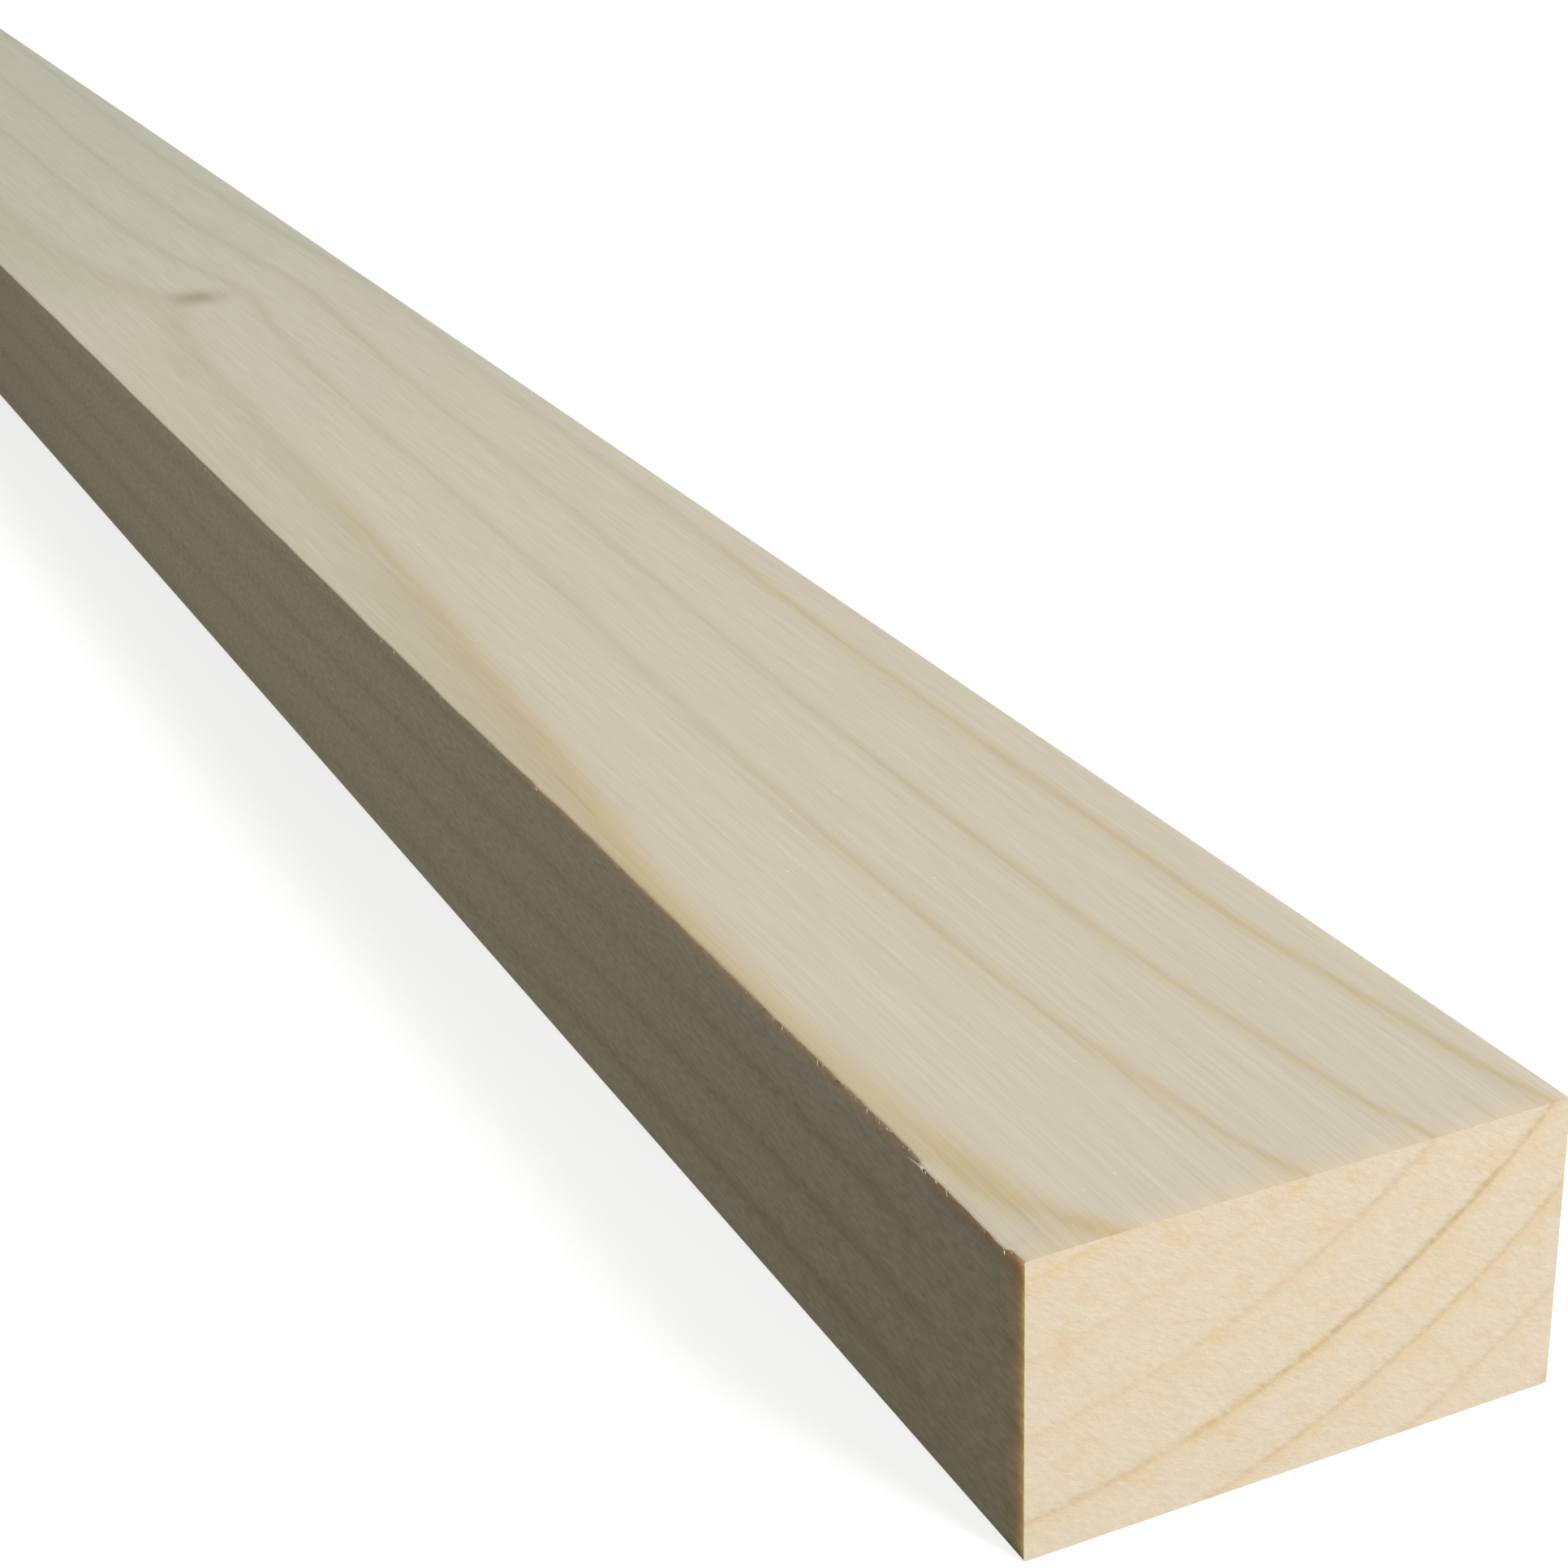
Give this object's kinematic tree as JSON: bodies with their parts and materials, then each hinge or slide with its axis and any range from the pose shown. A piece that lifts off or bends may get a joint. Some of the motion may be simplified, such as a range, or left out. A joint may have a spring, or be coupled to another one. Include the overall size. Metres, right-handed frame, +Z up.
{
  "type": "planed softwood plank",
  "caption": "Straight length of pale planed softwood with a rectangular section, barely broken long edges and square sawn ends, for frames and battens.",
  "frame": {"origin": "middle of the underside, on the surface that the plank lies on", "axes": "+X along the length towards the sawn end that faces the viewer, +Y across the width, +Z up through the thickness"},
  "size_m": [1, 0.044, 0.024],
  "materials": {
    "planed_spruce": "planed bare softwood, matt"
  },
  "bodies": {
    "root": {"plank": "planed_spruce"}
  },
  "joints": []
}
